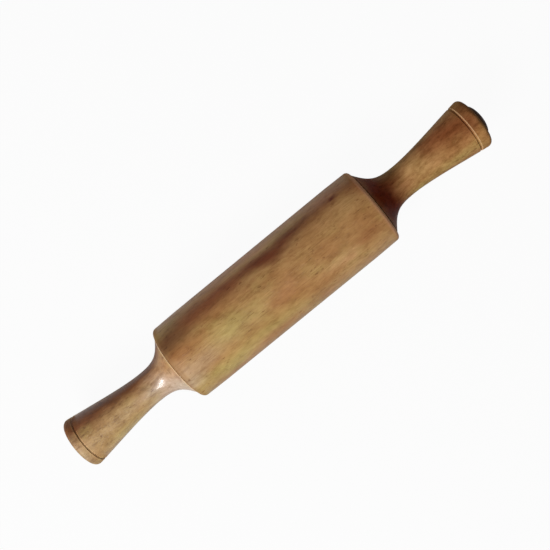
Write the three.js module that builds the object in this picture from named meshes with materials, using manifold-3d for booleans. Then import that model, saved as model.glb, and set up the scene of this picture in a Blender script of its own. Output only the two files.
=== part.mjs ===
// A revolving rolling pin: a turned wooden barrel that spins on a steel axle between two turned handles.
// Millimetres, Z up. The axle lies along X, and the origin is the middle of the barrel, on the axis.

import * as THREE from 'three';
import { mergeVertices } from 'three/addons/utils/BufferGeometryUtils.js';
import loadManifold from 'manifold-3d';

const wasm = await loadManifold();
wasm.setup();

// Barrel
const BARREL_LENGTH = 184;
const BARREL_DIAMETER = 62.8;
const BARREL_CORNER_RADIUS = 3.1;
const BARREL_EASE = 0.4; // how far the radius falls away towards each end
const BARREL_EASE_LENGTH = 18;

// Handle outline, measured outwards from the face beside the barrel
const HANDLE_LENGTH = 94;
const HANDLE_ROOT_DIAMETER = 53.6;
const HANDLE_NECK_DIAMETER = 25;
const HANDLE_NECK_DISTANCE = 26.8;
const HANDLE_RIM_DIAMETER = 40.4;
const HANDLE_RIM_RADIUS = 4.2;
const COVE_ANGLE = 55.5; // degrees between the cove and the axis where the handle begins
const FLARE_ANGLE = 8.1; // degrees between the flare and the axis near the rim

// Fullness of the two curves, as shares of the spans that they cross
const COVE_ROOT_SHARE = 0.83;
const COVE_NECK_SHARE = 0.53;
const FLARE_NECK_SHARE = 0.27;
const FLARE_RIM_SHARE = 0.3;

// Scribed groove round each handle, placed from its end face; the right one was scribed further in
const GROOVE_DISTANCE = { left: 8.2, right: 10.1 };
const GROOVE_WIDTH = 1.8;
const GROOVE_DEPTH = 0.7;

// Axle: a journal between two shoulders, with thinner threaded ends
const AXLE_THREAD_DIAMETER = 8;
const AXLE_SHOULDER = 2;
const AXLE_CHAMFER = 0.8;
const AXLE_PROJECTION = 2.5; // thread left showing past each nut

// Flanged bushes in the barrel's ends, and the washers that they run against
const BUSH_LENGTH = 18;
const BUSH_WALL = 3;
const BUSH_FLANGE_WIDTH = 3;
const BUSH_FLANGE_THICKNESS = 2;
const THRUST_WASHER_THICKNESS = 1.5;

// Fasteners in the pocket at each handle's outer end
const CLAMP_WASHER_WIDTH = 4.3;
const CLAMP_WASHER_THICKNESS = 1.6;
const SPRING_WASHER_WIDTH = 2.9;
const SPRING_WASHER_THICKNESS = 2;
const SPRING_WASHER_SPLIT = 14; // degrees
const NUT_ACROSS_FLATS = 13;
const NUT_THICKNESS = 6.5;
const NUT_CHAMFER_ANGLE = 30; // degrees
const NUT_CHAMFER_MARGIN = 0.3;

// End buttons that close the pockets; the left one is driven further home
const BUTTON_PROUD = { left: 3.1, right: 5 };
const BUTTON_LIP = 3.5;
const BUTTON_SPIGOT_LENGTH = 9;
const BUTTON_SPIGOT_CHAMFER = 0.8;

// Clearances
const RUNNING_GAP = 0.5; // barrel end to handle face
const END_PLAY = 0.3; // bush flange to thrust washer
const SEAT_GAP = 0.2; // between faces that bear on each other
const RUNNING_CLEARANCE = 0.08; // bush on axle, radial
const PRESS_CLEARANCE = 0.1; // bush in barrel and button in pocket, radial
const BOLT_CLEARANCE = 0.2; // holes over the axle's thread, radial
const BORE_CLEARANCE = 1; // barrel's bore over the axle, radial
const RECESS_CLEARANCE = 0.5; // barrel's end recess round the flange, radial
const POCKET_CLEARANCE = 1; // pocket round its widest fastener, radial
const BUTTON_CLEARANCE = 2.5; // axle's end to button

// Facets
const WOOD_SIDES = 48;
const METAL_SIDES = 24;
const COVE_STEPS = 8;
const FLARE_STEPS = 6;
const ROUND_STEPS = 4;
const DOME_STEPS = 6;

// Radii that follow
const threadRadius = AXLE_THREAD_DIAMETER / 2;
const journalRadius = threadRadius + AXLE_SHOULDER;
const boltHoleRadius = threadRadius + BOLT_CLEARANCE;
const bushBoreRadius = journalRadius + RUNNING_CLEARANCE;
const bushRadius = bushBoreRadius + BUSH_WALL;
const flangeRadius = bushRadius + BUSH_FLANGE_WIDTH;
const clampWasherRadius = boltHoleRadius + CLAMP_WASHER_WIDTH;
const springWasherRadius = boltHoleRadius + SPRING_WASHER_WIDTH;
const nutCornerRadius = NUT_ACROSS_FLATS / 2 / Math.cos(Math.PI / 6);
const pocketRadius = Math.max(clampWasherRadius, springWasherRadius, nutCornerRadius) + POCKET_CLEARANCE;

// Stations along the axis, on the right-hand side
const barrelEnd = BARREL_LENGTH / 2;
const handleFace = barrelEnd + RUNNING_GAP;
const handleEnd = handleFace + HANDLE_LENGTH;
const thrustWasherInner = handleFace - SEAT_GAP - THRUST_WASHER_THICKNESS;
const axleShoulder = thrustWasherInner - SEAT_GAP;
const flangeOuter = thrustWasherInner - END_PLAY;
const flangeInner = flangeOuter - BUSH_FLANGE_THICKNESS;
const recessFloor = flangeInner - SEAT_GAP;
const bushInner = flangeInner - BUSH_LENGTH;
const buttonInner = handleEnd - BUTTON_SPIGOT_LENGTH;
const axleEnd = buttonInner - BUTTON_CLEARANCE;
const nutInner = axleEnd - AXLE_PROJECTION - NUT_THICKNESS;
const springWasherInner = nutInner - SEAT_GAP - SPRING_WASHER_THICKNESS;
const clampWasherInner = springWasherInner - SEAT_GAP - CLAMP_WASHER_THICKNESS;
const pocketFloor = clampWasherInner - SEAT_GAP;

// Finishes
const WOOD = { color: 0xa5794a, roughness: 0.35, metalness: 0 };
const DARK_WOOD = { color: 0x33211a, roughness: 0.45, metalness: 0 };
const STEEL = { color: 0x9a9da0, roughness: 0.35, metalness: 1 };
const NYLON = { color: 0xe4e0d4, roughness: 0.55, metalness: 0 };

// A point of a turned outline: its radius, and its place along the axis
function point(radius, along) {
  return new THREE.Vector2(radius, along);
}

// Points of a quarter ellipse from the side of a turned piece, round to its end
function quarterRound(radius, along, width, height, steps) {
  const curve = new THREE.EllipseCurve(radius - width, along, width, height, 0, Math.PI / 2);
  return curve.getPoints(steps);
}

// Shapes are made along Y, and this lays one along X
function laidAlong(name, geometry, finish) {
  const mesh = new THREE.Mesh(geometry, new THREE.MeshStandardMaterial(finish));
  mesh.name = name;
  mesh.rotation.z = -Math.PI / 2;
  return mesh;
}

// Half a facet of turn puts a flat facet, not a corner, underneath
function turning(outline, sides) {
  return new THREE.LatheGeometry(outline, sides, Math.PI / sides);
}

function ringOutline(innerRadius, outerRadius, start, thickness) {
  const end = start + thickness;
  return [
    point(outerRadius, start),
    point(outerRadius, end),
    point(innerRadius, end),
    point(innerRadius, start),
    point(outerRadius, start),
  ];
}

// An extruded section stands on the XY plane, and this moves it to its station along Y
function extrudedAlong(section, start, thickness, curveSegments) {
  const geometry = new THREE.ExtrudeGeometry(section, { depth: thickness, bevelEnabled: false, curveSegments });
  geometry.rotateX(-Math.PI / 2);
  geometry.translate(0, start, 0);
  return geometry;
}

function solidOf(geometry) {
  const bare = geometry.clone();
  bare.deleteAttribute('normal');
  bare.deleteAttribute('uv');
  const merged = mergeVertices(bare);
  const vertProperties = new Float32Array(merged.attributes.position.array);
  const corners = merged.index.array;
  return new wasm.Manifold(new wasm.Mesh({ numProp: 3, vertProperties, triVerts: new Uint32Array(corners) }));
}

function geometryOf(solid) {
  const { vertProperties, triVerts } = solid.getMesh();
  const geometry = new THREE.BufferGeometry();
  geometry.setAttribute('position', new THREE.BufferAttribute(vertProperties, 3));
  geometry.setIndex(new THREE.BufferAttribute(triVerts, 1));
  geometry.computeVertexNormals();
  return geometry;
}

function barrelGeometry() {
  const radius = BARREL_DIAMETER / 2;
  const easedRadius = radius - BARREL_EASE;
  const cornerAlong = barrelEnd - BARREL_CORNER_RADIUS;
  const halfOutline = [
    point(radius, cornerAlong - BARREL_EASE_LENGTH),
    ...quarterRound(easedRadius, cornerAlong, BARREL_CORNER_RADIUS, BARREL_CORNER_RADIUS, ROUND_STEPS),
    point(flangeRadius + RECESS_CLEARANCE, barrelEnd),
    point(flangeRadius + RECESS_CLEARANCE, recessFloor),
    point(bushRadius + PRESS_CLEARANCE, recessFloor),
    point(bushRadius + PRESS_CLEARANCE, bushInner - SEAT_GAP),
    point(journalRadius + BORE_CLEARANCE, bushInner - SEAT_GAP),
  ];
  const otherHalf = halfOutline.map(({ x, y }) => point(x, -y)).reverse();
  return turning([...halfOutline, ...otherHalf, halfOutline[0]], WOOD_SIDES);
}

function axleGeometry() {
  const halfOutline = [
    point(journalRadius, axleShoulder),
    point(threadRadius, axleShoulder),
    point(threadRadius, axleEnd - AXLE_CHAMFER),
    point(threadRadius - AXLE_CHAMFER, axleEnd),
    point(0, axleEnd),
  ];
  const otherHalf = halfOutline.map(({ x, y }) => point(x, -y)).reverse();
  return turning([...otherHalf, ...halfOutline], METAL_SIDES);
}

function bushGeometry() {
  return turning([
    point(bushRadius, bushInner),
    point(bushRadius, flangeInner),
    point(flangeRadius, flangeInner),
    point(flangeRadius, flangeOuter),
    point(bushBoreRadius, flangeOuter),
    point(bushBoreRadius, bushInner),
    point(bushRadius, bushInner),
  ], METAL_SIDES);
}

// From the barrel outwards: a hollow cove down to the neck, a flare up to the groove, a band and a rim
function handleGeometry(grooveDistance) {
  const rootRadius = HANDLE_ROOT_DIAMETER / 2;
  const neckRadius = HANDLE_NECK_DIAMETER / 2;
  const rimRadius = HANDLE_RIM_DIAMETER / 2;
  const neckAlong = handleFace + HANDLE_NECK_DISTANCE;
  const rimAlong = handleEnd - HANDLE_RIM_RADIUS;
  const flareSlope = Math.tan(THREE.MathUtils.degToRad(FLARE_ANGLE));
  const flarePoint = (along) => point(rimRadius - flareSlope * (rimAlong - along), along);

  const coveDrop = COVE_ROOT_SHARE * (rootRadius - neckRadius);
  const coveReach = coveDrop / Math.tan(THREE.MathUtils.degToRad(COVE_ANGLE));
  const cove = new THREE.CubicBezierCurve(
    point(rootRadius, handleFace),
    point(rootRadius - coveDrop, handleFace + coveReach),
    point(neckRadius, neckAlong - COVE_NECK_SHARE * HANDLE_NECK_DISTANCE),
    point(neckRadius, neckAlong),
  );

  const grooveAlong = handleEnd - grooveDistance;
  const flareEnd = grooveAlong - GROOVE_WIDTH / 2;
  const flareLength = flareEnd - neckAlong;
  const flare = new THREE.CubicBezierCurve(
    point(neckRadius, neckAlong),
    point(neckRadius, neckAlong + FLARE_NECK_SHARE * flareLength),
    flarePoint(flareEnd - FLARE_RIM_SHARE * flareLength),
    flarePoint(flareEnd),
  );

  const grooveBottom = flarePoint(grooveAlong);
  grooveBottom.x -= GROOVE_DEPTH;
  return turning([
    ...cove.getPoints(COVE_STEPS),
    ...flare.getPoints(FLARE_STEPS).slice(1),
    grooveBottom,
    flarePoint(grooveAlong + GROOVE_WIDTH / 2),
    ...quarterRound(rimRadius, rimAlong, HANDLE_RIM_RADIUS, HANDLE_RIM_RADIUS, ROUND_STEPS),
    point(pocketRadius, handleEnd),
    point(pocketRadius, pocketFloor),
    point(boltHoleRadius, pocketFloor),
    point(boltHoleRadius, handleFace),
    point(rootRadius, handleFace),
  ], WOOD_SIDES);
}

function springWasherGeometry() {
  const halfSplit = THREE.MathUtils.degToRad(SPRING_WASHER_SPLIT) / 2;
  const split = new THREE.Shape();
  split.absarc(0, 0, springWasherRadius, halfSplit, 2 * Math.PI - halfSplit, false);
  split.absarc(0, 0, boltHoleRadius, 2 * Math.PI - halfSplit, halfSplit, true);
  split.closePath();
  return extrudedAlong(split, springWasherInner, SPRING_WASHER_THICKNESS, METAL_SIDES / 2);
}

// A hexagon with a hole, its corners cut back by a cone at each face
function nutGeometry() {
  const hexagon = new THREE.Shape();
  hexagon.absarc(0, 0, nutCornerRadius, 0, 2 * Math.PI, false);
  const corners = hexagon.getPoints(3).slice(0, 6);
  const section = new THREE.Shape(corners);
  const hole = new THREE.Path();
  hole.absarc(0, 0, boltHoleRadius, 0, 2 * Math.PI, true);
  section.holes.push(hole);
  const blank = extrudedAlong(section, nutInner, NUT_THICKNESS, METAL_SIDES / 2);

  const faceRadius = NUT_ACROSS_FLATS / 2 - NUT_CHAMFER_MARGIN;
  const coneReach = nutCornerRadius + NUT_CHAMFER_MARGIN;
  const coneHeight = (coneReach - faceRadius) * Math.tan(THREE.MathUtils.degToRad(NUT_CHAMFER_ANGLE));
  const nutOuter = nutInner + NUT_THICKNESS;
  const cones = turning([
    point(faceRadius, nutInner),
    point(coneReach, nutInner + coneHeight),
    point(coneReach, nutOuter - coneHeight),
    point(faceRadius, nutOuter),
    point(threadRadius, nutOuter),
    point(threadRadius, nutInner),
    point(faceRadius, nutInner),
  ], METAL_SIDES);
  return geometryOf(solidOf(blank).intersect(solidOf(cones)));
}

function buttonGeometry(proud) {
  const spigotRadius = pocketRadius - PRESS_CLEARANCE;
  const headRadius = pocketRadius + BUTTON_LIP;
  const headAlong = handleEnd + SEAT_GAP;
  return turning([
    point(0, buttonInner),
    point(spigotRadius - BUTTON_SPIGOT_CHAMFER, buttonInner),
    point(spigotRadius, buttonInner + BUTTON_SPIGOT_CHAMFER),
    point(spigotRadius, headAlong),
    ...quarterRound(headRadius, headAlong, headRadius, proud - SEAT_GAP, DOME_STEPS),
  ], WOOD_SIDES);
}

// Everything on one side, made as the right-hand one and turned about Z for the left
function sideGroup(side, turn) {
  const group = new THREE.Group();
  const thrustWasher = ringOutline(boltHoleRadius, flangeRadius, thrustWasherInner, THRUST_WASHER_THICKNESS);
  const clampWasher = ringOutline(boltHoleRadius, clampWasherRadius, clampWasherInner, CLAMP_WASHER_THICKNESS);
  group.add(
    laidAlong(`barrel_bush_${side}`, bushGeometry(), NYLON),
    laidAlong(`thrust_washer_${side}`, turning(thrustWasher, METAL_SIDES), STEEL),
    laidAlong(`handle_${side}`, handleGeometry(GROOVE_DISTANCE[side]), WOOD),
    laidAlong(`clamp_washer_${side}`, turning(clampWasher, METAL_SIDES), STEEL),
    laidAlong(`spring_washer_${side}`, springWasherGeometry(), STEEL),
    laidAlong(`axle_nut_${side}`, nutGeometry(), STEEL),
    laidAlong(`end_button_${side}`, buttonGeometry(BUTTON_PROUD[side]), DARK_WOOD),
  );
  group.rotation.z = turn;
  return group;
}

const rollingPin = new THREE.Group();
rollingPin.add(
  laidAlong('barrel', barrelGeometry(), WOOD),
  laidAlong('axle_rod', axleGeometry(), STEEL),
  sideGroup('left', Math.PI),
  sideGroup('right', 0),
);

export default rollingPin;
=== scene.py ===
# Looks of a revolving wooden rolling pin: smooth turned wood, hidden steel and nylon,
# a pale floor and soft light. Metres, Z up. The axle lies along X and the pin rests on its barrel.

import math
from collections import namedtuple

import bmesh
import bpy
from mathutils import Matrix, Vector
from mathutils.geometry import interpolate_bezier


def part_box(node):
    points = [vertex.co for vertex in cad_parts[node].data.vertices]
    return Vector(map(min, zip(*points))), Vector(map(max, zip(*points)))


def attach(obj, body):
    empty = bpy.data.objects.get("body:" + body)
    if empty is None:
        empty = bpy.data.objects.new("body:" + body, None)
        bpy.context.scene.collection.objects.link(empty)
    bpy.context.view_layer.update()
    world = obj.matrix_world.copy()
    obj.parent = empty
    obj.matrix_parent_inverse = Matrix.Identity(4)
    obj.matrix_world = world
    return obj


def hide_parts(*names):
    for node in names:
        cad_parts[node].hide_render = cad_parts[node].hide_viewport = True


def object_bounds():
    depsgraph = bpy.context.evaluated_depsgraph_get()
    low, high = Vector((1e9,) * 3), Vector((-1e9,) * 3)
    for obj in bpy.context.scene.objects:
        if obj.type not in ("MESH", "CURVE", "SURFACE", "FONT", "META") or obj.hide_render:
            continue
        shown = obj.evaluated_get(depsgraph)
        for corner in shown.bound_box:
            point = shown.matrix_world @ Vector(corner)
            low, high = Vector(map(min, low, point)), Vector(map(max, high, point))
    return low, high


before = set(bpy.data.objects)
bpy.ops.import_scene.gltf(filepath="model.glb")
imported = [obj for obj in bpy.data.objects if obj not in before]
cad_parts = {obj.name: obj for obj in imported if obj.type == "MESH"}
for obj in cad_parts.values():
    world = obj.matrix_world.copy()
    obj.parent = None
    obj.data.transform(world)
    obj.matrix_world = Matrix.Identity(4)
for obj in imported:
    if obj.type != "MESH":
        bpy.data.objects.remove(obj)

cad_low, cad_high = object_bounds()

MM = 0.001

# Turned outlines that the frame's boxes don't give
NECK_RADIUS = 12.5 * MM
NECK_DISTANCE = 26.8 * MM
RIM_RADIUS = 20.2 * MM
RIM_ROUND = 4.2 * MM
COVE_ANGLE = math.radians(55.5)
FLARE_ANGLE = math.radians(8.1)
COVE_ROOT_SHARE = 0.83
COVE_NECK_SHARE = 0.53
FLARE_NECK_SHARE = 0.27
FLARE_RIM_SHARE = 0.3
GROOVE_DISTANCE = {"left": 8.2 * MM, "right": 10.1 * MM}
GROOVE_WIDTH = 1.8 * MM
GROOVE_DEPTH = 0.7 * MM
BARREL_CORNER = 3.1 * MM
BARREL_EASE = 0.4 * MM
BARREL_EASE_LENGTH = 18 * MM
ROOT_EDGE = 0.3 * MM
BUSH_WALL = 3 * MM
FLANGE_THICKNESS = 2 * MM
THREAD_RADIUS = 4 * MM
BUTTON_LIP = 3.5 * MM
RUNNING_CLEARANCE = 0.08 * MM
PRESS_CLEARANCE = 0.1 * MM
SEAT_GAP = 0.2 * MM
BOLT_CLEARANCE = 0.2 * MM
RECESS_CLEARANCE = 0.5 * MM
BORE_CLEARANCE = 1 * MM

# Fineness of the turned meshes
TURN_STEPS = 160
CURVE_POINTS = 48
CORNER_SEGMENTS = 6
DOME_POINTS = 16
GROOVE_POINTS = 8
SHARP_ANGLE = math.radians(28)
TOUCH = 0.001 * MM

# Camera: the pin crosses the picture from lower left to upper right, seen from nearly straight above.
# The eye and the point that it looks at are placed in pixels of the picture, along and across the axle.
PICTURE_SIDE = 550
PIXEL = 0.73 * MM
PIN_ANGLE = math.radians(39.326)
SENSOR_WIDTH = 36
EYE_DISTANCE = 985
EYE_ALONG = 48
AIM_ALONG = 5.7
AIM_ACROSS = 7.76
CLIP_START = 10 * MM

# Light
WORLD_LEVEL = 0.09
REFLECTED_SHARE = 0.1
FLOOR_REACH = 6
FLOOR_COLOUR = (0.4, 0.4, 0.4, 1)
FLOOR_GLOW = 0.95


def tint(red, green, blue):
    """A colour as it looks on screen, 0 to 255, turned into the light values that shaders take."""
    def linear(channel):
        share = channel / 255
        return share / 12.92 if share <= 0.04045 else ((share + 0.055) / 1.055) ** 2.4
    return (linear(red), linear(green), linear(blue), 1)


# Tones of the wood, with painted shade, sheen and highlights among them
BROWN = tint(154, 109, 63)
HONEY = tint(174, 136, 86)
FAWN = tint(162, 131, 93)
# Painted highlight tone for the left groove's lip
PALE_HIGHLIGHT = tint(196, 158, 108)
OLIVE = tint(168, 151, 88)
ROSE = tint(166, 114, 74)
# Rosy light tone: blush in the wood, and painted light along the barrel's upper edge and right corner
BLUSH_AND_PAINTED_LIGHT = tint(194, 142, 108)
# Pale greyish tone: paler wood, and on the left handle's cove a painted sheen of the key lamp
BLOND_AND_SHEEN = tint(184, 167, 148)
# Cream tone for edge lines; in the right groove it is a painted highlight
CREAM = tint(222, 186, 142)
DRAB = tint(134, 112, 82)
RUSSET = tint(130, 70, 38)
UMBER = tint(96, 65, 35)
HEART = tint(98, 38, 13)
# Painted shade: the dark red-brown of the right handle's cove, where the barrel's shadow falls
PAINTED_COVE_SHADE = tint(98, 34, 12)
TAWNY = tint(112, 60, 8)

# How marks in the wood change the red, green and blue under them
LIGHT_MARK = (1.18, 1.21, 1.28)
DARK_MARK = (0.72, 0.66, 0.6)
FIBRE_MARK = (0.92, 0.9, 0.88)
FLECK_MARK = (0.6, 0.5, 0.4)
PORE_MARK = (0.79, 0.73, 0.67)
RING_MARK = (0.92, 0.89, 0.86)

# Growth rings lie about a pith below and beside the piece, as in wood sawn clear of the heart.
# Late wood starts and is darkest at these shares of a ring.
PITH = (0, 26 * MM, -48 * MM)
RINGS_PER_METRE = 380
LATE_START = 0.3
LATE_PEAK = 0.92

# Noise: features per metre along the axle and across it
CLOUD_GRAIN = (17, 34, 34)
BLUSH_GRAIN = (26, 52, 52)
TINGE_GRAIN = (38, 60, 60)
MOTTLE_GRAIN = (105, 240, 240)
FIBRE_GRAIN = (90, 900, 900)
FLECK_GRAIN = (210, 640, 640)
CROWDING_GRAIN = (40, 70, 70)
PORE_GRAIN = (85, 2400, 2400)
BUTTON_PORE_GRAIN = (200, 900, 900)
BUTTON_CLOUD_GRAIN = (160, 160, 160)
LATHE_GRAIN = (2600, 30, 30)
STEEL_GRAIN = (90, 90, 90)
MOULD_GRAIN = (2200, 2200, 2200)
NYLON_GRAIN = (120, 120, 120)
NOISE_MIDDLE = 0.5
NO_SHIFT = (0, 0, 0)
FAR_SHIFT = 3

# How strongly the random tones show, how far patches wander, and the heart's least share and solid core
TINGE_SHARE = 0.35
BLUSH_SHARE = 0.45
PATCH_WARP = 16 * MM
HEART_FLOOR = 0.15
HEART_CORE = 0.1

# Lacquer, how far handling has worn it back from the grooves and the barrel's ends,
# and where the painted highlight line by a groove lies, as a share of the groove's width from its middle
LACQUER_ROUGHNESS = 0.16
WOOD_ROUGHNESS = 0.38
HANDLE_WORN = 5 * MM
BARREL_WORN = 6 * MM
WORN_REACH = 3 * MM
LIP_SHARE = 0.55

# Relief of each surface
GRAIN_RELIEF = 0.08 * MM
PORE_RELIEF = 0.06 * MM
LATHE_RELIEF = 0.01 * MM
MOULD_RELIEF = 0.015 * MM

# Tones of the buttons, the steel and the nylon
EBONY = tint(50, 28, 11)
EBONY_LIGHT = tint(74, 45, 20)
EBONY_PORE = tint(18, 11, 7)
STEEL = tint(196, 197, 199)
STEEL_STAIN = tint(150, 146, 140)
NYLON = tint(222, 216, 200)
NYLON_PALE = tint(236, 232, 220)
NYLON_SCATTER = (2 * MM, 2 * MM, 1.5 * MM)

# The dark heart band: its tone, turn about the axle, half width, drift along the axle and strength
Heart = namedtuple("Heart", "tone angle width drift strength")


class Value:
    """A shader socket that Python arithmetic can use; each operation adds a Math node."""

    def __init__(self, finish, socket):
        self.finish = finish
        self.socket = socket

    def output(self, name):
        """Another output of the node that this socket belongs to."""
        return Value(self.finish, self.socket.node.outputs[name])

    def math(self, operation, first, second=0.0):
        return self.finish.node("ShaderNodeMath", {"operation": operation}, {0: first, 1: second})

    def __add__(self, other):
        return self.math("ADD", self, other)

    def __sub__(self, other):
        return self.math("SUBTRACT", self, other)

    def __mul__(self, other):
        return self.math("MULTIPLY", self, other)

    def __radd__(self, other):
        return self.math("ADD", other, self)

    def __rsub__(self, other):
        return self.math("SUBTRACT", other, self)

    def __rmul__(self, other):
        return self.math("MULTIPLY", other, self)

    def __abs__(self):
        return self.math("ABSOLUTE", self)


class Finish:
    """The nodes of one material, or of the world."""

    def __init__(self, owner):
        owner.use_nodes = True
        self.owner = owner
        self.tree = owner.node_tree
        self.tree.nodes.clear()

    def node(self, kind, settings, sockets, output=0):
        node = self.tree.nodes.new(kind)
        for key, setting in settings.items():
            setattr(node, key, setting)
        for key, value in sockets.items():
            socket = self.find(node.inputs, key)
            if isinstance(value, Value):
                self.tree.links.new(value.socket, socket)
            else:
                socket.default_value = value
        return Value(self, self.find(node.outputs, output)) if node.outputs else None

    def find(self, sockets, key):
        if isinstance(key, int):
            return sockets[key]
        return next(socket for socket in sockets if socket.enabled and socket.name == key)

    def place(self):
        return self.node("ShaderNodeTexCoord", {}, {}, "Object")

    def vector(self, operation, first, second):
        return self.node("ShaderNodeVectorMath", {"operation": operation}, {0: first, 1: second})

    def length(self, vector):
        return self.node("ShaderNodeVectorMath", {"operation": "LENGTH"}, {0: vector}, "Value")

    def noise(self, place, scale, shift, detail, roughness):
        """Noise with its own number of features per metre along X, Y and Z."""
        spot = self.node("ShaderNodeMapping", {}, {"Vector": place, "Location": shift, "Scale": scale})
        sockets = {"Vector": spot, "Scale": 1, "Detail": detail, "Roughness": roughness}
        return self.node("ShaderNodeTexNoise", {}, sockets)

    def step(self, value, low, high):
        """0 at low, 1 at high and smooth between; low may be the larger."""
        if low > high:
            return 1 - self.step(value, high, low)
        sockets = {"Value": value, "From Min": low, "From Max": high}
        return self.node("ShaderNodeMapRange", {"interpolation_type": "SMOOTHSTEP"}, sockets)

    def patch(self, place, centre, size):
        """1 in the middle of a soft ellipsoid and 0 outside it."""
        offset = self.vector("DIVIDE", self.vector("SUBTRACT", place, centre), size)
        return self.step(self.length(offset), 1, 0)

    def mix(self, share, first, second):
        sockets = {"Factor": share, "A": first, "B": second}
        return self.node("ShaderNodeMix", {"data_type": "RGBA"}, sockets, "Result")

    def shade(self, share, colour, gain):
        """Darkens or lightens a colour by a gain for each channel."""
        return self.mix(share, colour, self.vector("MULTIPLY", colour, gain))

    def bump(self, height, distance):
        return self.node("ShaderNodeBump", {}, {"Height": height, "Distance": distance})

    def principled(self, sockets):
        shader = self.node("ShaderNodeBsdfPrincipled", {}, sockets)
        self.node("ShaderNodeOutputMaterial", {}, {"Surface": shader})
        return self.owner


def new_finish(name):
    return Finish(bpy.data.materials.new(name))


def placed_patches(wood, colour, place, patches):
    """Soft patches over a colour. Each has a tone, a strength, a centre and a size in millimetres."""
    for tone, strength, centre, size in patches:
        spot = wood.patch(place, [part * MM for part in centre], [part * MM for part in size])
        colour = wood.mix(spot * strength, colour, tone)
    return colour


def heart_share(wood, place, heart):
    """1 in the middle of the heart band and 0 beside it."""
    parts = wood.node("ShaderNodeSeparateXYZ", {}, {"Vector": place})
    along, across, up = (parts.output(axis) for axis in "XYZ")
    beside = across * math.cos(heart.angle) - up * math.sin(heart.angle) - along * heart.drift
    return wood.step(abs(beside), heart.width, HEART_CORE * heart.width)


def late_wood_share(wood, place):
    """Grows to 1 through each growth ring and falls back to 0 at its end."""
    from_pith = wood.vector("MULTIPLY", wood.vector("SUBTRACT", place, PITH), (0, 1, 1))
    radius = wood.length(from_pith)
    season = radius.math("FRACT", radius * RINGS_PER_METRE)
    return wood.step(season, LATE_START, LATE_PEAK) * wood.step(season, 1, LATE_PEAK)


def edge_lines_light_and_shade(wood, colour, station, edges):
    """Lines of tone round the axle on edges, most of them painted highlights and painted shade. Each has a
    tone, a strength, a place along the axle and a width.
    """
    for tone, strength, middle, width in edges:
        colour = wood.mix(wood.step(abs(station - middle), width, 0) * strength, colour, tone)
    return colour


def lacquered_wood(name, shift, figure, shine, lacquer, lacquer_end, heart, patches, edges):
    """Turned hardwood under satin lacquer.

    shift sets one piece's figure apart from another's, and figure scales the contrast of its marks.
    shine is the bare wood's and lacquer is the coat's, which is rubbed away past lacquer_end.
    """
    wood = new_finish(name)
    place = wood.place()
    far_shift = [FAR_SHIFT - part for part in shift]

    clouds = wood.noise(place, CLOUD_GRAIN, shift, 2, 0.5)
    blush = wood.noise(place, BLUSH_GRAIN, far_shift, 3, 0.55)
    tinge = wood.noise(place, TINGE_GRAIN, far_shift, 3, 0.55)
    mottle = wood.noise(place, MOTTLE_GRAIN, shift, 5, 0.72)
    fibres = wood.noise(place, FIBRE_GRAIN, shift, 3, 0.6)
    flecks = wood.noise(place, FLECK_GRAIN, shift, 3, 0.55)
    pores = wood.noise(place, PORE_GRAIN, shift, 2, 0.6)
    crowding = wood.noise(place, CROWDING_GRAIN, far_shift, 2, 0.5)
    dark_pores = wood.step(pores, 0.56, 0.66)
    dark_flecks = wood.step(flecks, 0.6, 0.7) * wood.step(crowding, 0.46, 0.56)
    light_flecks = wood.step(flecks, 0.34, 0.26)

    tinge_share = TINGE_SHARE * figure
    colour = wood.mix(wood.step(clouds, 0.3, 0.7), BROWN, HONEY)
    colour = wood.mix(wood.step(tinge, 0.48, 0.7) * tinge_share, colour, OLIVE)
    colour = wood.mix(wood.step(tinge, 0.5, 0.28) * tinge_share, colour, ROSE)
    colour = wood.mix(wood.step(blush, 0.5, 0.78) * BLUSH_SHARE, colour, RUSSET)

    # Patches, heart and growth rings wander with the figure
    sway = wood.vector("SUBTRACT", blush.output("Color"), [NOISE_MIDDLE] * 3)
    warped = wood.vector("ADD", place, wood.vector("MULTIPLY", sway, [PATCH_WARP] * 3))
    colour = placed_patches(wood, colour, warped, patches)
    band = heart_share(wood, warped, heart) * (HEART_FLOOR + blush) * heart.strength
    colour = wood.mix(band, colour, heart.tone)

    colour = wood.shade(wood.step(mottle, 0.45, 0.75) * figure, colour, LIGHT_MARK)
    colour = wood.shade(wood.step(mottle, 0.52, 0.25) * figure, colour, DARK_MARK)
    colour = wood.shade(wood.step(fibres, 0.45, 0.8) * figure, colour, FIBRE_MARK)
    colour = wood.shade(late_wood_share(wood, warped), colour, RING_MARK)
    colour = wood.shade(dark_pores, colour, PORE_MARK)
    colour = wood.shade(dark_flecks, colour, FLECK_MARK)
    colour = wood.shade(light_flecks, colour, LIGHT_MARK)

    station = wood.node("ShaderNodeSeparateXYZ", {}, {"Vector": place}, "X")
    worn = wood.step(abs(station), lacquer_end, lacquer_end + WORN_REACH)
    relief = fibres * 0.3 + mottle * 0.4 - dark_flecks * 0.6 - dark_pores * 0.4
    roughness = WOOD_ROUGHNESS + (mottle - NOISE_MIDDLE) * 0.15 + dark_flecks * 0.15 + worn * 0.25
    return wood.principled({
        # The wood's colour with the painted highlight and shade lines on edges over it
        "Base Color": edge_lines_light_and_shade(wood, colour, station, edges),
        "Roughness": roughness,
        "Normal": wood.bump(relief, GRAIN_RELIEF),
        "Specular IOR Level": shine,
        "Coat Weight": (1 - worn) * lacquer,
        "Coat Roughness": LACQUER_ROUGHNESS,
    })


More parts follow.
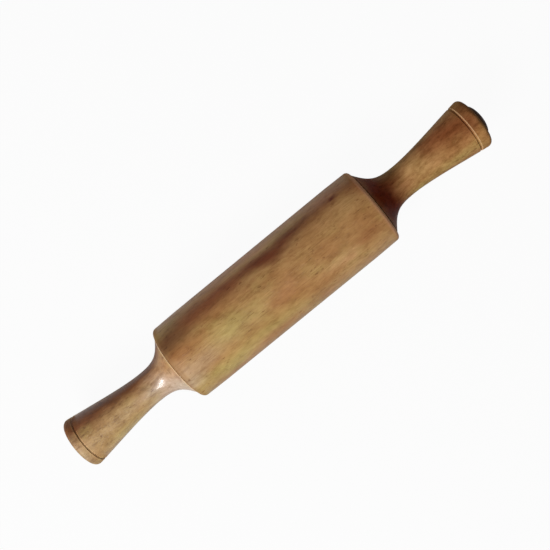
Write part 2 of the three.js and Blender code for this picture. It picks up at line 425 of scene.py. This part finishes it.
def ebonised_wood(name):
    """Nearly black end grain with little shine."""
    wood = new_finish(name)
    place = wood.place()
    pores = wood.noise(place, BUTTON_PORE_GRAIN, NO_SHIFT, 3, 0.6)
    patches = wood.noise(place, BUTTON_CLOUD_GRAIN, NO_SHIFT, 2, 0.5)
    dark = wood.mix(patches, EBONY, EBONY_LIGHT)
    return wood.principled({
        "Base Color": wood.mix(wood.step(pores, 0.55, 0.72) * 0.6, dark, EBONY_PORE),
        "Roughness": 0.35 + pores * 0.2,
        "Normal": wood.bump(pores, PORE_RELIEF),
        "Specular IOR Level": 0.15,
    })


def turned_steel(name):
    """Bright steel with fine lathe lines round the axis and faint stains."""
    steel = new_finish(name)
    place = steel.place()
    lines = steel.noise(place, LATHE_GRAIN, NO_SHIFT, 3, 0.6)
    stains = steel.noise(place, STEEL_GRAIN, NO_SHIFT, 3, 0.55)
    return steel.principled({
        "Base Color": steel.mix(steel.step(stains, 0.45, 0.7) * 0.4, STEEL, STEEL_STAIN),
        "Metallic": 1,
        "Roughness": 0.24 + lines * 0.2 + steel.step(stains, 0.5, 0.75) * 0.12,
        "Normal": steel.bump(lines, LATHE_RELIEF),
    })


def moulded_nylon(name):
    """Creamy nylon with a fine moulded grain and faint clouding."""
    nylon = new_finish(name)
    place = nylon.place()
    grain = nylon.noise(place, MOULD_GRAIN, NO_SHIFT, 2, 0.5)
    clouds = nylon.noise(place, NYLON_GRAIN, NO_SHIFT, 3, 0.5)
    return nylon.principled({
        "Base Color": nylon.mix(clouds, NYLON, NYLON_PALE),
        "Roughness": 0.45 + grain * 0.15,
        "Normal": nylon.bump(grain, MOULD_RELIEF),
        "Subsurface Weight": 0.1,
        "Subsurface Radius": NYLON_SCATTER,
    })


def box_radius(node):
    low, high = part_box(node)
    return (high.z - low.z) / 2


def join_outline(bm, outline, closed):
    """Vertices at (along, radius) points, joined by edges."""
    vertices = [bm.verts.new((along, 0, radius)) for along, radius in outline]
    pairs = list(zip(vertices, vertices[1:]))
    if closed:
        pairs.append((vertices[-1], vertices[0]))
    return vertices + [bm.edges.new(pair) for pair in pairs]


def ring_edges(bm, along, radius):
    """The edges of the circle that a sharp corner of the outline turned into."""
    def on_ring(vertex):
        off_along = abs(vertex.co.x - along)
        off_radius = abs(math.hypot(vertex.co.y, vertex.co.z) - radius)
        return off_along < TOUCH and off_radius < TOUCH
    return [edge for edge in bm.edges if all(on_ring(vertex) for vertex in edge.verts)]


def add_object(name, bm, material):
    """Puts a finished bmesh into the scene."""
    mesh = bpy.data.meshes.new(name)
    bm.to_mesh(mesh)
    bm.free()
    mesh.materials.append(material)
    thing = bpy.data.objects.new(name, mesh)
    bpy.context.collection.objects.link(thing)
    return thing


def turned_piece(name, outline, rounds, material, closed=True):
    """Spins an outline about X and rounds the given corners, each by its own offset."""
    bm = bmesh.new()
    geom = join_outline(bm, outline, closed)
    bmesh.ops.spin(bm, geom=geom, cent=(0, 0, 0), axis=(1, 0, 0), angle=2 * math.pi,
                   steps=TURN_STEPS, use_merge=True)
    bmesh.ops.remove_doubles(bm, verts=bm.verts, dist=TOUCH)
    bmesh.ops.recalc_face_normals(bm, faces=bm.faces)
    for (along, radius), offset in rounds:
        bmesh.ops.bevel(bm, geom=ring_edges(bm, along, radius), offset=offset, offset_type="OFFSET",
                        segments=CORNER_SEGMENTS, profile=0.5, affect="EDGES", material=-1)
    for face in bm.faces:
        face.smooth = True
    for edge in bm.edges:
        edge.smooth = edge.calc_face_angle(0) < SHARP_ANGLE
    return add_object(name, bm, material)


def bezier(first, first_pull, second_pull, second):
    """Points of a curve that leaves each end towards its pull."""
    points = [Vector((*point, 0)) for point in (first, first_pull, second_pull, second)]
    return [(point.x, point.y) for point in interpolate_bezier(*points, CURVE_POINTS)]


def make_barrel(material):
    """The roller, eased towards its ends, with a bush seat and a flange recess at each end of its bore."""
    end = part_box("barrel")[1].x
    radius = box_radius("barrel")
    eased = radius - BARREL_EASE
    bush_low, bush_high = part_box("barrel_bush_right")
    journal = box_radius("axle_rod")
    recess = box_radius("barrel_bush_right") + RECESS_CLEARANCE
    floor = bush_high.x - FLANGE_THICKNESS - SEAT_GAP
    bush = journal + RUNNING_CLEARANCE + BUSH_WALL + PRESS_CLEARANCE
    bush_inner = bush_low.x - SEAT_GAP
    half = [
        (end - BARREL_CORNER - BARREL_EASE_LENGTH, radius),
        (end, eased),
        (end, recess),
        (floor, recess),
        (floor, bush),
        (bush_inner, bush),
        (bush_inner, journal + BORE_CLEARANCE),
    ]
    other = [(-along, span) for along, span in reversed(half)]
    rounds = [((side * end, eased), BARREL_CORNER) for side in (-1, 1)]
    piece = turned_piece("barrel_wood", half + other, rounds, material)
    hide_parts("barrel")
    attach(piece, "roller")


def make_handle(side, sign, material):
    """A grip: cove, neck, flare, groove and rounded rim outside, bolt hole and nut pocket inside."""
    node = f"handle_{side}"
    low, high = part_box(node)
    face, end = sorted((abs(low.x), abs(high.x)))
    root = box_radius(node)
    neck_along = face + NECK_DISTANCE
    rim_along = end - RIM_ROUND

    def flare_point(along):
        return along, RIM_RADIUS - math.tan(FLARE_ANGLE) * (rim_along - along)

    drop = COVE_ROOT_SHARE * (root - NECK_RADIUS)
    cove = bezier((face, root), (face + drop / math.tan(COVE_ANGLE), root - drop),
                  (neck_along - COVE_NECK_SHARE * NECK_DISTANCE, NECK_RADIUS), (neck_along, NECK_RADIUS))
    groove = end - GROOVE_DISTANCE[side]
    flare_end = groove - GROOVE_WIDTH / 2
    flare_length = flare_end - neck_along
    flare = bezier((neck_along, NECK_RADIUS), (neck_along + FLARE_NECK_SHARE * flare_length, NECK_RADIUS),
                   flare_point(flare_end - FLARE_RIM_SHARE * flare_length), flare_point(flare_end))
    hollow = []
    for step in range(1, GROOVE_POINTS + 1):
        turn = math.pi * step / GROOVE_POINTS
        along, span = flare_point(groove - GROOVE_WIDTH / 2 * math.cos(turn))
        hollow.append((along, span - GROOVE_DEPTH * math.sin(turn)))

    pocket = box_radius(f"end_button_{side}") - BUTTON_LIP
    washer_low, washer_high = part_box(f"clamp_washer_{side}")
    floor = min(abs(washer_low.x), abs(washer_high.x)) - SEAT_GAP
    bore = THREAD_RADIUS + BOLT_CLEARANCE
    outline = cove + flare[1:] + hollow + [
        flare_point(end),
        (end, pocket),
        (floor, pocket),
        (floor, bore),
        (face, bore),
    ]
    outline = [(sign * along, span) for along, span in outline]
    rounds = [
        ((sign * end, flare_point(end)[1]), RIM_ROUND),
        ((sign * face, root), ROOT_EDGE),
    ]
    piece = turned_piece(f"handle_wood_{side}", outline, rounds, material)
    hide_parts(node)
    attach(piece, "grips")


def make_button(side, sign, material):
    """A domed plug whose spigot closes a handle's nut pocket."""
    node = f"end_button_{side}"
    low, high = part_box(node)
    inner, top = sorted((abs(low.x), abs(high.x)))
    handle_low, handle_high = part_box(f"handle_{side}")
    seat = max(abs(handle_low.x), abs(handle_high.x)) + SEAT_GAP
    head = box_radius(node)
    spigot = head - BUTTON_LIP - PRESS_CLEARANCE
    dome = []
    for step in range(DOME_POINTS + 1):
        turn = step / DOME_POINTS * math.pi / 2
        dome.append((seat + (top - seat) * math.sin(turn), head * math.cos(turn)))
    dome[-1] = (top, 0)
    outline = [(inner, 0), (inner, spigot), (seat, spigot)] + dome
    outline = [(sign * along, span) for along, span in outline]
    piece = turned_piece(f"button_{side}", outline, [], material, closed=False)
    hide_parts(node)
    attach(piece, "grips")


def seen_share(finish):
    """1 on the rays from the eye, a little on reflected rays, 0 on the rays that carry light."""
    paths = finish.node("ShaderNodeLightPath", {}, {}, "Is Camera Ray")
    return paths + paths.output("Is Glossy Ray") * REFLECTED_SHARE + paths.output("Is Transmission Ray")


def make_floor():
    """A plain pale floor that looks white and keeps a soft shadow of the pin."""
    white = new_finish("white_floor")
    matte = white.node("ShaderNodeBsdfDiffuse", {}, {"Color": FLOOR_COLOUR})
    glow = white.node("ShaderNodeEmission", {}, {"Strength": 1})
    share = seen_share(white) * FLOOR_GLOW
    both = white.node("ShaderNodeMixShader", {}, {0: share, 1: matte, 2: glow})
    white.node("ShaderNodeOutputMaterial", {}, {"Surface": both})

    bm = bmesh.new()
    bmesh.ops.create_grid(bm, x_segments=1, y_segments=1, size=FLOOR_REACH)
    bmesh.ops.translate(bm, verts=bm.verts, vec=(0, 0, cad_low.z))
    floor = add_object("floor", bm, white.owner)


def make_world():
    """White to the eye, and a low even light on the pin."""
    sky = Finish(bpy.data.worlds.new("studio"))
    level = WORLD_LEVEL + seen_share(sky) * (1 - WORLD_LEVEL)
    white = sky.node("ShaderNodeBackground", {}, {"Color": (1, 1, 1, 1), "Strength": level})
    sky.node("ShaderNodeOutputWorld", {}, {"Surface": white})
    bpy.context.scene.world = sky.owner


def make_lamp(name, direction, distance, width, height, power, reflected):
    """A soft box that faces the pin from a direction, with its width level."""
    data = bpy.data.lights.new(name, "AREA")
    data.shape = "RECTANGLE"
    data.size = width
    data.size_y = height
    data.energy = power
    lamp = bpy.data.objects.new(name, data)
    lamp.visible_glossy = reflected
    away = Vector(direction).normalized()
    lamp.location = away * distance
    lamp.rotation_mode = "QUATERNION"
    lamp.rotation_quaternion = (-away).to_track_quat("-Z", "Y")
    bpy.context.collection.objects.link(lamp)


def make_camera():
    eye = Vector((EYE_ALONG * PIXEL, AIM_ACROSS * PIXEL, EYE_DISTANCE * PIXEL))
    aim = Vector((AIM_ALONG * PIXEL, AIM_ACROSS * PIXEL, 0))
    back = (eye - aim).normalized()
    up = Vector((math.sin(PIN_ANGLE), math.cos(PIN_ANGLE), 0))
    right = up.cross(back).normalized()
    up = back.cross(right)
    data = bpy.data.cameras.new("camera")
    data.sensor_width = SENSOR_WIDTH
    data.lens = SENSOR_WIDTH * (eye - aim).length / (PICTURE_SIDE * PIXEL)
    data.clip_start = CLIP_START
    camera = bpy.data.objects.new("camera", data)
    camera.matrix_world = Matrix.Translation(eye) @ Matrix((right, up, back)).transposed().to_4x4()
    bpy.context.collection.objects.link(camera)
    bpy.context.scene.camera = camera


make_camera()

barrel_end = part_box("barrel")[1].x
handle_face, handle_end = (corner.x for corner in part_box("handle_right"))
left_groove, right_groove = (handle_end - GROOVE_DISTANCE[side] for side in ("left", "right"))
groove_lip = LIP_SHARE * GROOVE_WIDTH
barrel_lacquer = barrel_end - BARREL_WORN
handle_lacquer = left_groove - HANDLE_WORN

barrel_heart = Heart(tone=HEART, angle=math.radians(42), width=10 * MM, drift=0.03, strength=0.45)
barrel_patches = [
    (BROWN, 0.7, (44, -3, 31), (56, 11, 12)),
    (HONEY, 0.8, (80, 10, 28), (50, 13, 13)),
    (BROWN, 0.25, (88, -14, 28), (26, 16, 13)),
    (BLUSH_AND_PAINTED_LIGHT, 0.35, (50, -16, 27), (26, 9, 12)),
    (FAWN, 0.6, (-68, -9, 30), (26, 8, 12)),
    (FAWN, 0.95, (-88, -12, 28), (30, 18, 14)),
    (BLOND_AND_SHEEN, 0.4, (-88, -18, 25), (20, 9, 12)),
    (OLIVE, 0.7, (-40, -4, 31), (34, 15, 20)),
    (OLIVE, 0.7, (-60, -22, 22), (50, 12, 14)),
    (OLIVE, 0.55, (-15, -20, 24), (40, 12, 14)),
    (OLIVE, 0.4, (-82, -28, 14), (24, 10, 14)),
    (UMBER, 0.9, (-84, 17.5, 25.5), (36, 15, 17)),
    (RUSSET, 0.8, (-30, 20, 24), (70, 10, 16)),
    (HEART, 0.9, (8, 18.5, 25), (34, 10, 14)),
    (HEART, 0.75, (32, 21.5, 22.5), (34, 6.5, 12)),
    # Lighter strip along the barrel's upper edge: lighter wood with painted rim light
    (BLUSH_AND_PAINTED_LIGHT, 0.8, (0, 30, 9), (120, 7, 14)),
    (RUSSET, 0.9, (94, 15, 26.5), (20, 15, 15)),
    (BLUSH_AND_PAINTED_LIGHT, 0.5, (66, 25, 18), (24, 8, 12)),
    (HEART, 1, (71.5, 19.8, 23.5), (5, 2.2, 14)),
]
barrel_edges = [
    # Painted shade holding down the key lamp's light on the barrel's left corner
    (UMBER, 0.5, -barrel_end, 5 * MM),
    # Painted light on the barrel's right corner, which faces away from the key lamp
    (BLUSH_AND_PAINTED_LIGHT, 0.6, barrel_end - 1.4 * MM, 2.4 * MM),
]
barrel_finish = lacquered_wood("barrel_lacquer", shift=NO_SHIFT, figure=0.95,
                               shine=0.3, lacquer=0.2, lacquer_end=barrel_lacquer, heart=barrel_heart,
                               patches=barrel_patches, edges=barrel_edges)

left_heart = Heart(tone=TAWNY, angle=math.radians(60), width=11 * MM, drift=0, strength=1.6)
left_patches = [
    (FAWN, 0.9, (-150, -6, 15), (60, 14, 16)),
    (HONEY, 0.4, (-165, -5, 15), (56, 14, 16)),
    (OLIVE, 0.14, (-165, -5, 15), (60, 14, 16)),
    (OLIVE, 0.5, (-150, -14, 8), (50, 8, 14)),
    # Paler end grain with a painted sheen of the key lamp over the left cove
    (BLOND_AND_SHEEN, 0.8, (-98, -16, 4), (38, 40, 40)),
    (BROWN, 0.9, (-99, 8, 20), (18, 14, 14)),
    (RUSSET, 0.9, (-168, 12, 12), (46, 12, 13)),
    (UMBER, 0.3, (-148, 6, 16), (48, 8, 12)),
    (DRAB, 0.95, (-188, -4, 14), (13, 34, 34)),
    (UMBER, 0.3, (-188, 14, 12), (12, 16, 20)),
]
left_edges = [
    # Painted highlight on the outer lip of the left groove
    (PALE_HIGHLIGHT, 0.2, -left_groove - groove_lip, 0.8 * MM),
    (CREAM, 0.9, -handle_face, 1 * MM),
]
left_finish = lacquered_wood("left_handle_lacquer", shift=(8.3, 1.2, 4.7), figure=1.6,
                             shine=0.6, lacquer=0.45, lacquer_end=handle_lacquer, heart=left_heart,
                             patches=left_patches, edges=left_edges)

right_heart = Heart(tone=HEART, angle=math.radians(50), width=8 * MM, drift=0, strength=0.35)
right_patches = [
    (HONEY, 0.6, (135, -4, 14), (30, 12, 14)),
    (RUSSET, 1, (165, 7, 18), (50, 18, 18)),
    (HONEY, 0.6, (187, -4, 16), (10, 16, 16)),
    (UMBER, 0.4, (186, 15, 12), (14, 13, 14)),
    (OLIVE, 0.4, (150, -14, 10), (40, 8, 12)),
    (UMBER, 0.3, (172, 4, 17), (24, 13, 14)),
    # Painted shade over the right handle's cove, in the barrel's shadow
    (PAINTED_COVE_SHADE, 0.6, (113, 4, 12), (15, 6.5, 9)),
    (PAINTED_COVE_SHADE, 1.25, (97, 0, 6), (29, 56, 56)),
    (DRAB, 0.35, (108, 14, 4), (16, 8, 12)),
]
right_edges = [
    # Painted highlight on the lit outer wall of the right groove
    (CREAM, 0.6, right_groove + groove_lip, 0.5 * MM),
    # Painted shade on the right rim's rounding, which faces away from the key lamp
    (UMBER, 0.85, handle_end, 2.6 * MM),
]
right_finish = lacquered_wood("right_handle_lacquer", shift=(5.4, 9.3, 2.1), figure=1.6,
                              shine=0.05, lacquer=0.05, lacquer_end=handle_lacquer, heart=right_heart,
                              patches=right_patches, edges=right_edges)

button_finish = ebonised_wood("button_lacquer")
steel_finish = turned_steel("axle_steel")
nylon_finish = moulded_nylon("bush_nylon")

make_barrel(barrel_finish)
make_handle("left", -1, left_finish)
make_handle("right", 1, right_finish)
make_button("left", -1, button_finish)
make_button("right", 1, button_finish)

# The pieces inside keep their solids
for name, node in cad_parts.items():
    if name != "barrel" and not name.startswith(("handle", "end_button")):
        node.data.materials.clear()
        node.data.materials.append(nylon_finish if "bush" in name else steel_finish)

make_floor()
make_world()
make_lamp("key", direction=(-0.98, -0.54, 1), distance=1.2, width=0.72, height=0.32,
          power=19, reflected=True)
make_lamp("rim", direction=(-0.3, 1, 0.3), distance=1.3, width=0.9, height=0.9,
          power=4, reflected=False)
make_lamp("fill", direction=(1, -0.1, 0.4), distance=1.3, width=0.9, height=0.9,
          power=3, reflected=False)

bpy.context.scene.view_settings.view_transform = "Standard"
